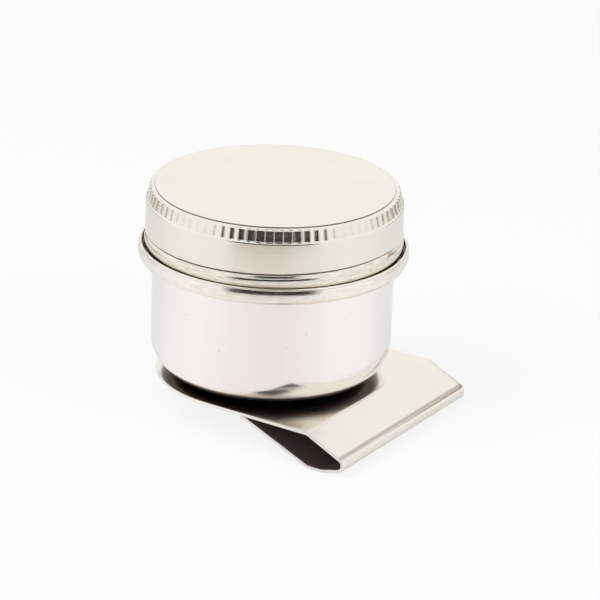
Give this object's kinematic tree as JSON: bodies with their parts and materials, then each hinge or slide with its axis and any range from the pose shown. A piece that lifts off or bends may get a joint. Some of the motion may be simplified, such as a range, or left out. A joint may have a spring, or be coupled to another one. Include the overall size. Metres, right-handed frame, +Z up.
{
  "type": "palette cup clip",
  "caption": "Small round steel oil cup with a fluted screw lid and a guttered mouth, on a folded sheet-metal spring clip that grips the edge of a painting palette.",
  "frame": {"origin": "on the cup's axis, at the underside of the clip's upper leaf, where the face of a palette bears", "axes": "+Z up along the cup's axis, +X from the cup towards the clip's fold, +Y across the clip"},
  "size_m": [0.0572, 0.052, 0.0448],
  "materials": {
    "cup_steel": "polished stainless sheet with a faint vertical drawing grain",
    "lid_steel": "satin stainless sheet, warm",
    "clip_steel": "polished spring strip with bright sheared edges",
    "liner_rubber": "matt sealing rubber"
  },
  "bodies": {
    "cup": {"cup_body": "cup_steel", "neck_ring": "cup_steel", "clip_upper_leaf": "clip_steel"},
    "jaw": {"clip_lower_leaf": "clip_steel"},
    "lid_lift": {"lid_liner": "liner_rubber"},
    "lid": {"lid_shell": "lid_steel"}
  },
  "joints": [
    {"name": "lid_rise", "type": "slide", "parent": "cup", "child": "lid_lift", "axis": [0, 0, 1], "range_m": [0, 0.0139]},
    {"name": "lid_turn", "type": "hinge", "parent": "lid_lift", "child": "lid", "pos_m": [0, 0, 0.0381], "axis": [0, 0, 1], "range_deg": [0, 2160]},
    {"name": "jaw_open", "type": "hinge", "parent": "cup", "child": "jaw", "pos_m": [0.03085, 0, -0.00408], "axis": [0, -1, 0], "range_deg": [0, 14], "stiffness_Nm_per_rad": 1.2, "springref_deg": -1.72}
  ],
  "couplings": [
    {"joint": "lid_rise", "follows": "lid_turn", "m_per_rad": 0.000366}
  ]
}
